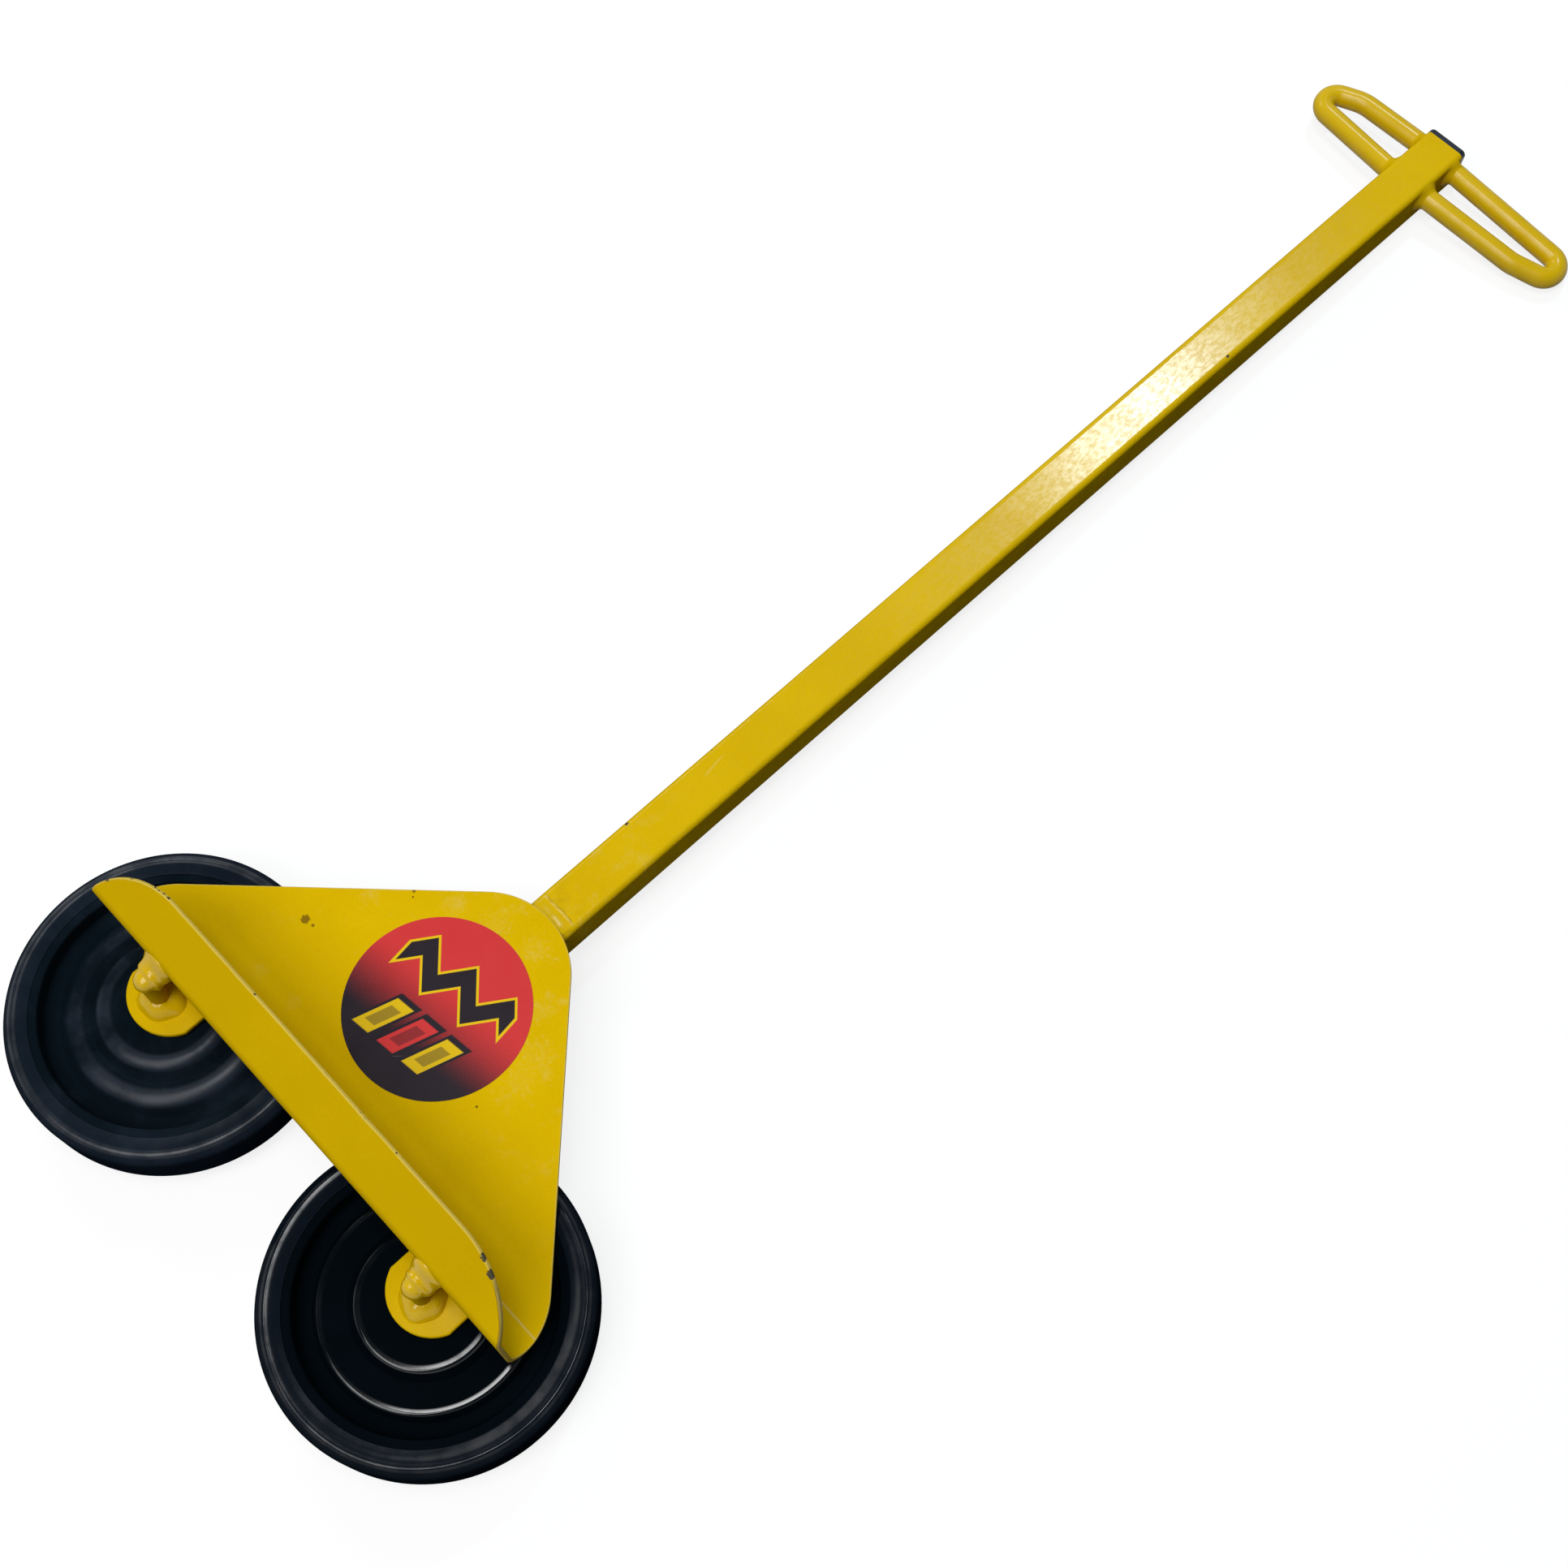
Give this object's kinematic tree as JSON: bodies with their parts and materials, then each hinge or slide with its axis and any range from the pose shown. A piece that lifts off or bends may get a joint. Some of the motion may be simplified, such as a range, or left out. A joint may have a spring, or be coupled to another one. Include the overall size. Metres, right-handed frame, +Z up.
{
  "type": "panel dolly",
  "caption": "Hand dolly for carrying sheet panels: a folded steel carrier plate with a lipped trough on tandem wheels, and a long square tube handle with a looped hand grip.",
  "frame": {"origin": "on the floor, under the middle of the box of the dolly as it lies on its back", "axes": "+Y along the handle, from the wheels to the hand loop; +Z up, out of the front of the carrier plate; +X along the trough, to the right with the handle up and the plate facing the viewer"},
  "size_m": [0.4532, 1.2022, 0.1386],
  "materials": {
    "yellow_paint": "gloss yellow enamel on steel, scuffed and chipped at the edges",
    "painted_weld": "weld bead under thick gloss yellow enamel",
    "sticker_vinyl": "printed vinyl sticker, red fading to black",
    "black_cap": "moulded black plastic, satin",
    "core_plastic": "moulded black plastic with a waxy gloss",
    "tyre_rubber": "solid black rubber, smooth moulded",
    "nylon_bush": "natural nylon",
    "zinc_steel": "zinc plated"
  },
  "bodies": {
    "frame": {"carrier_plate": "yellow_paint", "plate_sticker": "sticker_vinyl", "handle_tube": "yellow_paint", "tube_end_cap": "black_cap", "tube_apex_weld": "painted_weld", "tube_side_welds": "painted_weld", "left_hand_loop": "yellow_paint", "left_loop_welds": "painted_weld", "left_axle_tab": "yellow_paint", "left_tab_weld": "painted_weld", "left_axle": "yellow_paint", "left_axle_welds": "painted_weld", "left_inner_washer": "zinc_steel", "left_outer_washer": "zinc_steel", "left_cotter_pin": "zinc_steel", "right_hand_loop": "yellow_paint", "right_loop_welds": "painted_weld", "right_axle_tab": "yellow_paint", "right_tab_weld": "painted_weld", "right_axle": "yellow_paint", "right_axle_welds": "painted_weld", "right_inner_washer": "zinc_steel", "right_outer_washer": "zinc_steel", "right_cotter_pin": "zinc_steel"},
    "left_wheel": {"left_wheel_core": "core_plastic", "left_tyre": "tyre_rubber", "left_front_bush": "nylon_bush", "left_rear_bush": "nylon_bush"},
    "right_wheel": {"right_wheel_core": "core_plastic", "right_tyre": "tyre_rubber", "right_front_bush": "nylon_bush", "right_rear_bush": "nylon_bush"}
  },
  "joints": [
    {"name": "left_wheel_spin", "type": "hinge", "parent": "frame", "child": "left_wheel", "pos_m": [-0.125, -0.49924, 0.02921], "axis": [0, 0.0212, 0.9998], "continuous": true},
    {"name": "right_wheel_spin", "type": "hinge", "parent": "frame", "child": "right_wheel", "pos_m": [0.125, -0.49924, 0.02921], "axis": [0, 0.0212, 0.9998], "continuous": true}
  ]
}
